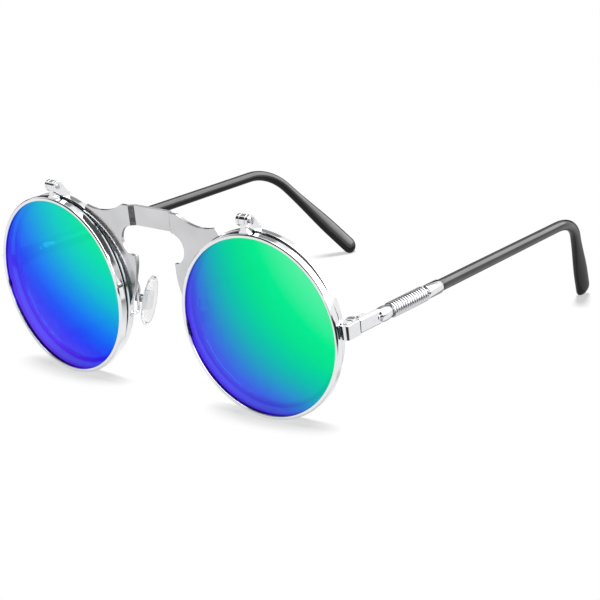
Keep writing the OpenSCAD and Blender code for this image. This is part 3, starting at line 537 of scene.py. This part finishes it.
def makeSleeveTip(side):
    stations = []
    forward = Vector((0, 1, 0))
    outward = Vector(sleeve["outward"])
    tipAlong = Vector(sleeve["tipAlong"])
    sideways = Vector(sleeve["sideways"])
    run = sleeve["straightEnd"] - sleeve["start"]
    steps = sleeve["straightSteps"]
    for t, shape in sleeve["mouth"] + tuple((k / steps, 1) for k in range(1, steps + 1)):
        place = Vector((sleeve["middle"], sleeve["start"] + run * t, 0))
        lean = math.radians(sleeve["lean"] * eased((t - sleeve["leanFrom"]) / (1 - sleeve["leanFrom"])))
        normal = Vector((math.sin(lean), 0, math.cos(lean)))
        half = between(sleeve["half"], sleeve["slim"], eased(t))
        stations.append(station(place, forward, normal, half * shape, sleeve["wide"] * shape))
    centre = Vector((sleeve["middle"], sleeve["straightEnd"], 0)) - outward * sleeve["bendRadius"]
    for k in range(1, sleeve["bendSteps"] + 1):
        a = math.radians(sleeve["bendAngle"] * k / sleeve["bendSteps"])
        normal = outward * math.cos(a) + forward * math.sin(a)
        along = forward * math.cos(a) - outward * math.sin(a)
        place = centre + normal * sleeve["bendRadius"]
        stations.append(station(place, along, normal, sleeve["slim"], sleeve["wide"]))
    normal = sideways.cross(tipAlong)
    corner = Vector(sleeve["corner"])
    for k in range(1, sleeve["tipSteps"] + 1):
        t = k / sleeve["tipSteps"]
        f = eased(t / sleeve["tipWidens"])
        place = corner + tipAlong * (sleeve["bendTan"] + sleeve["tipStraight"] * t)
        half = between(sleeve["slim"], sleeve["tipHalf"], f)
        stations.append(station(place, tipAlong, normal, half, between(sleeve["wide"], sleeve["tipThick"], f)))
    for a in sleeve["domeAngles"]:
        s, c = math.sin(math.radians(a)), math.cos(math.radians(a))
        place = corner + tipAlong * (sleeve["tipRun"] - sleeve["dome"] + sleeve["dome"] * s)
        stations.append(station(place, tipAlong, normal, sleeve["tipHalf"] * c, sleeve["tipThick"] * c))
    work = bmesh.new()
    loftRings(work, stations, sleeve["sides"])
    settle(work, side + "_sleeve_moulded", side + "_sleeve", templeFrame, side == "right", 50)


pad = {
    "height": 13.5, "width": 7.0, "thick": 2.2, "middle": -0.7, "egg": 0.1, "sides": 48, "fullness": 0.42,
    "square": 2.5, "halfAngles": (11, 22, 34, 45, 56, 66, 75, 82, 88),
}


def makePad(side):
    work = bmesh.new()
    stations = []
    angles = pad["halfAngles"]
    for a in [-angle for angle in reversed(angles)] + [0, *angles]:
        s, c = math.sin(math.radians(a)), math.cos(math.radians(a))
        k = c ** pad["fullness"]
        place = Vector((pad["middle"] + pad["thick"] / 2 * s, 0, 0))
        stations.append(station(place, Vector((1, 0, 0)), up, pad["height"] / 2 * k, pad["width"] / 2 * k))
    loftRings(work, stations, pad["sides"])
    power = pad["square"]
    for vert in work.verts:  # squarer than an oval, and narrower at the top
        a = abs(vert.co.y) / (pad["width"] / 2)
        b = abs(vert.co.z) / (pad["height"] / 2)
        if a + b > 0:
            grow = math.hypot(a, b) / (a ** power + b ** power) ** (1 / power)
            vert.co.y *= grow
            vert.co.z *= grow
        vert.co.y *= 1 - pad["egg"] * vert.co.z / (pad["height"] / 2)
    settle(work, side + "_pad_moulded", side + "_pad", padFrame, side == "right", 50)


mirrorLens = {
    "name": "mirror_lens", "apex": -0.770222, "thick": 1.2, "edge": 24.55, "curve": 200.0, "in": 0.0, "up": 0.0,
}
rearLens = {
    "name": "rear_lens", "apex": 2.2861, "thick": 1.3, "edge": 23.3, "curve": 200.0, "in": 0.5, "up": 1.0,
}
lensFaces = {"rings": 14, "steps": 128, "merge": 0.0005}


def makeLens(side, values):
    def depth(radius, r):
        return radius - math.sqrt(radius * radius - r * r)
    work = bmesh.new()
    rings = lensFaces["rings"]
    front = [(values["edge"] * k / rings, values["apex"] + depth(values["curve"], values["edge"] * k / rings))
             for k in range(rings + 1)]
    inner = values["curve"] - values["thick"]
    rear = [(r, values["apex"] + values["thick"] + depth(inner, r)) for r, _ in reversed(front)]
    verts = [work.verts.new((r, y, 0)) for r, y in front + rear]
    for a, b in zip(verts, verts[1:]):
        work.edges.new((a, b))
    bmesh.ops.spin(work, geom=work.verts[:] + work.edges[:], cent=(0, 0, 0), axis=(0, 1, 0), dvec=(0, 0, 0),
                   angle=math.tau, steps=lensFaces["steps"], use_merge=True, use_duplicate=False)
    bmesh.ops.remove_doubles(work, verts=work.verts, dist=lensFaces["merge"])
    look = side + "Mirror" if values is mirrorLens else "clear_lens"
    place = lensFrame @ Matrix.Translation((-values["in"], 0, values["up"]))
    piece = settle(work, side + "_" + values["name"] + "_ground", side + "_" + values["name"], place,
                   side == "right", 40, materials[look])
    piece.visible_diffuse = False  # keeps coloured light off the floor


arm = {
    "path": [(12.8007, 2.50932, -5), (11.7661, 2.93293, -5), (11.6823, 4.7144, -4.3),
             (11.9058, 5.08144, 0.964676), (12.5019, 6.06019, 2.76468), (13.1726, 7.16128, 0.286319),
             (13.3657, 6.67278, -1.43532)],
    "radius": 0.35, "sides": 16, "steps": 12, "facing": (0.3, 0.2, 0.93),
    "pivot": 1.5, "cheek": 0.85, "lug": 0.4, "gap": 0.05, "cheekThick": 0.45, "web": 0.8,
    "cheekSides": 40, "webInset": 0.02, "eased": 0.08, "easedSteps": 2, "easedAngle": 50,
}


def makeArm(side):
    work = bmesh.new()
    path = [Vector(p) for p in arm["path"]]
    smooth = []
    for i in range(len(path) - 1):
        a, b, c, d = path[max(0, i - 1)], path[i], path[i + 1], path[min(len(path) - 1, i + 2)]
        for k in range(arm["steps"]):
            t = k / arm["steps"]
            smooth.append(0.5 * (2 * b + (c - a) * t + (2 * a - 5 * b + 4 * c - d) * t * t
                                 + (3 * b - a - 3 * c + d) * t ** 3))
    smooth.append(path[-1])
    stations = []
    normal = Vector(arm["facing"])
    for i, place in enumerate(smooth):
        along = (smooth[min(i + 1, len(smooth) - 1)] - smooth[max(i - 1, 0)]).normalized()
        normal = (normal - along * normal.dot(along)).normalized()
        stations.append(station(place, along, normal, arm["radius"], arm["radius"]))
    loftRings(work, stations, arm["sides"])
    bmesh.ops.transform(work, matrix=frontFrame, verts=work.verts)
    box = bmesh.new()  # the cradle: two cheeks and the web behind them
    cheek, thick, web = arm["cheek"], arm["cheekThick"], arm["web"]
    half = arm["lug"] + arm["gap"] + thick
    long = cheek + arm["gap"] + web
    for way in (-1, 1):
        across = way * (half - thick / 2)
        made = bmesh.ops.create_cone(box, cap_ends=True, segments=arm["cheekSides"],
                                     radius1=cheek, radius2=cheek, depth=thick)
        turn = Matrix.Translation((arm["pivot"], across, 0)) @ turned(90, "X")
        bmesh.ops.transform(box, matrix=turn, verts=made["verts"])
        made = bmesh.ops.create_cube(box, size=1.0)
        move = Matrix.Translation((arm["pivot"] + long / 2, across, 0)) \
            @ Matrix.Diagonal((long, thick, 2 * cheek, 1))
        bmesh.ops.transform(box, matrix=move, verts=made["verts"])
    made = bmesh.ops.create_cube(box, size=1.0)
    move = Matrix.Translation((arm["pivot"] + cheek + arm["gap"] + web / 2, 0, 0)) \
        @ Matrix.Diagonal((web, 2 * half - arm["webInset"], 2 * cheek - arm["webInset"], 1))
    bmesh.ops.transform(box, matrix=move, verts=made["verts"])
    bmesh.ops.transform(box, matrix=padFrame, verts=box.verts)
    cradle = bpy.data.meshes.new("cradle")
    box.to_mesh(cradle)
    box.free()
    work.from_mesh(cradle)
    piece = settle(work, side + "_pad_arm_bent", side + "_pad_arm", None, side == "right", 40)
    ease = piece.modifiers.new("eased edges", "BEVEL")
    ease.width = arm["eased"] * mm
    ease.segments = arm["easedSteps"]
    ease.limit_method = "ANGLE"
    ease.angle_limit = math.radians(arm["easedAngle"])


for side in ("left", "right"):
    makeSpring(side)
    makeLens(side, mirrorLens)
    makeLens(side, rearLens)
    makeArm(side)
    makeSleeveTip(side)
    makePad(side)
print("springs, lenses, pad arms, sleeves and pads made")

# The floor, in metres: the dark parts are seen only in the metal, and shadows only where the frame rests
ground = {
    "fill": 0.55, "shine": 0.50, "colour": 0.52, "size": 4.0,
    "frontAim": (0.677, -0.736, 0), "acrossAim": (0.736, 0.677, 0),
    "darkFront": (0.115, 0.14, 0.97), "darkAcross": (-0.065, -0.035),
    "darkSpot": (0.0575, -0.177), "spotSize": (0.026, 0.037),
    "darkRear": (-0.05, -0.02, 0.7), "darkBetween": (0.052, 0.070),
    "contacts": (((0.0365, -0.0615), (0.022, 0.011)), ((0.044, 0.0645), (0.018, 0.012))),
    "shadowEdge": (0.25, 1.0),
}

floorLook, look = newLook("paleFloor")
seen = look.node("ShaderNodeLightPath", None, None, "Is Camera Ray")
shown = look.node("ShaderNodeLightPath", None, None, "Is Glossy Ray").most(
    look.node("ShaderNodeLightPath", None, None, "Is Transmission Ray"))
floorShade = look.node("ShaderNodeBsdfDiffuse", None, {"Color": (ground["colour"],) * 3 + (1,)})
floorGlow = look.node("ShaderNodeEmission", None, {
    "Color": (1, 1, 1, 1), "Strength": seen * ground["fill"] + shown * ground["shine"]})
floorWhole = look.node("ShaderNodeAddShader", None, {0: floorShade, 1: floorGlow})
floorDark = look.node("ShaderNodeEmission", None, {"Color": (0, 0, 0, 1), "Strength": 0.0})
near, far, much = ground["darkFront"]
frontDark = look.span(look.dot(ground["frontAim"]), near, far) * much
frontDark = frontDark * look.span(look.dot(ground["acrossAim"]), *ground["darkAcross"])
spotX = look.dot((1, 0, 0)) - ground["darkSpot"][0]
spotY = look.dot((0, 1, 0)) - ground["darkSpot"][1]
inner, outer = ground["spotSize"]
frontDark = frontDark.most(1 - look.span(spotX * spotX + spotY * spotY, inner ** 2, outer ** 2))
near, far, much = ground["darkRear"]
inward = 1 - look.span(look.dot((1, 0, 0)), *ground["darkBetween"])
rearDark = look.span(look.dot((0, 1, 0)), near, far) * inward * much
reflected = look.node("ShaderNodeLightPath", None, None, "Is Glossy Ray") \
    * (1 - look.node("ShaderNodeLightPath", None, None, "Is Transmission Ray"))
floorMixed = look.node("ShaderNodeMixShader", None, {
    0: reflected * frontDark.most(rearDark), 1: floorWhole, 2: floorDark})
plain = look.node("ShaderNodeEmission", None, {"Color": (1, 1, 1, 1), "Strength": 1.0})
away = 1.0
for side in (-1, 1):
    for spot, size in ground["contacts"]:
        alongX = (look.dot((1, 0, 0)) - side * spot[0]) / size[0]
        alongY = (look.dot((0, 1, 0)) - spot[1]) / size[1]
        away = look.span(alongX * alongX + alongY * alongY, *ground["shadowEdge"]) * away
look.finish(look.node("ShaderNodeMixShader", None, {0: seen * away, 1: floorMixed, 2: plain}))

work = bmesh.new()
bmesh.ops.create_grid(work, x_segments=1, y_segments=1, size=ground["size"])
floorMesh = bpy.data.meshes.new("floor")
work.to_mesh(floorMesh)
work.free()
floor = bpy.data.objects.new("floor", floorMesh)
bpy.context.scene.collection.objects.link(floor)
dress(floor, floorLook)

# The room that the metal reflects is white, with a bright box, a dark rear wall and a dark front wall
room = {
    "sky": 0.16, "box": 4.2, "boxAim": (0.891, 0.0, 0.454), "boxEdge": (0.22, 0.32), "boxFoot": (0.18, 0.28),
    "lowCard": (0.31, 0.325, 0.40, 0.42), "dimCard": (0.42, 0.46, 0.72, 0.8), "dimCardLight": 0.32,
    "rear": (0.0, 0.1), "wallEdge": (-0.03, 0.03), "cameraSide": (0.2, 0.35), "cameraFoot": (0.15, 0.3),
    "darkness": 0.97, "sun": 2.3, "sunSpread": 14,
}

world = bpy.data.worlds.new("studio")
world.use_nodes = True
bpy.context.scene.world = world
look = Look(world.node_tree)
aim = look.node("ShaderNodeTexCoord", None, None, "Generated")
height = look.node("ShaderNodeSeparateXYZ", None, {0: aim}, "Z")


def facing(vector):
    return look.node("ShaderNodeVectorMath", {"operation": "DOT_PRODUCT"}, {0: aim, 1: vector}, "Value")


def band(low, lowEnd, high, highEnd):
    return look.span(height, low, lowEnd) * (1 - look.span(height, high, highEnd))


towardBox = facing(room["boxAim"])  # a long soft box over the wearer's left side
boxShape = look.span(towardBox, *room["boxEdge"]) * look.span(height, *room["boxFoot"])
rear = look.span(facing((0, 1, 0)), *room["rear"])
lowCard = band(*room["lowCard"])
dimCard = band(*room["dimCard"]) * room["dimCardLight"]
darkWall = (1 - look.span(towardBox, *room["wallEdge"])) * rear * (1 - lowCard - dimCard)
darkCamera = look.span(facing((0, -1, 0)), *room["cameraSide"]) * look.span(height, *room["cameraFoot"])
brightness = (1 - boxShape) * (1 - darkWall * room["darkness"]) + boxShape * room["box"]
brightness = brightness * (1 - darkCamera * room["darkness"])
camRay = look.node("ShaderNodeLightPath", None, None, "Is Camera Ray")
trans = look.node("ShaderNodeLightPath", None, None, "Is Transmission Ray")
glossy = look.node("ShaderNodeLightPath", None, None, "Is Glossy Ray")
white = look.node("ShaderNodeBackground", None, {"Color": (1, 1, 1, 1), "Strength": 1.0})
sky = look.node("ShaderNodeBackground", None, {"Color": (1, 1, 1, 1), "Strength": room["sky"]})
shine = look.node("ShaderNodeBackground", None, {"Color": (1, 1, 1, 1), "Strength": brightness})
lit = look.node("ShaderNodeMixShader", None, {0: glossy, 1: sky, 2: shine})
whole = look.node("ShaderNodeMixShader", None, {0: camRay.most(trans), 1: lit, 2: white})
look.finish(whole, "ShaderNodeOutputWorld")

sun = bpy.data.lights.new("softTop", "SUN")
sun.energy = room["sun"]
sun.angle = math.radians(room["sunSpread"])
sunObject = bpy.data.objects.new("softTop", sun)
sunObject.visible_glossy = False  # it shines straight down and isn't seen in the metal
bpy.context.scene.collection.objects.link(sunObject)

view = {
    "azimuth": 42.64, "rise": 17.2, "roll": -3.77, "place": (0.4482, -0.49515, 0.2162), "lens": 148.3,
    "sensor": 36, "nearest": 0.02, "farthest": 20,
}
a, e, r = (math.radians(view[key]) for key in ("azimuth", "rise", "roll"))
right = Vector((math.cos(a), math.sin(a), 0))
back = Vector((math.sin(a) * math.cos(e), -math.cos(a) * math.cos(e), math.sin(e)))
upward = back.cross(right)
turnedRight = right * math.cos(r) + upward * math.sin(r)
turnedUp = upward * math.cos(r) - right * math.sin(r)
camera = bpy.data.cameras.new("camera")
camera.sensor_width = view["sensor"]
camera.lens = view["lens"]
camera.clip_start = view["nearest"]
camera.clip_end = view["farthest"]
cameraObject = bpy.data.objects.new("camera", camera)
aimed = Matrix((turnedRight, turnedUp, back)).transposed().to_4x4()
cameraObject.matrix_world = Matrix.Translation(view["place"]) @ aimed
bpy.context.scene.collection.objects.link(cameraObject)
bpy.context.scene.camera = cameraObject

bpy.context.scene.view_settings.view_transform = "Standard"
print("stage set")
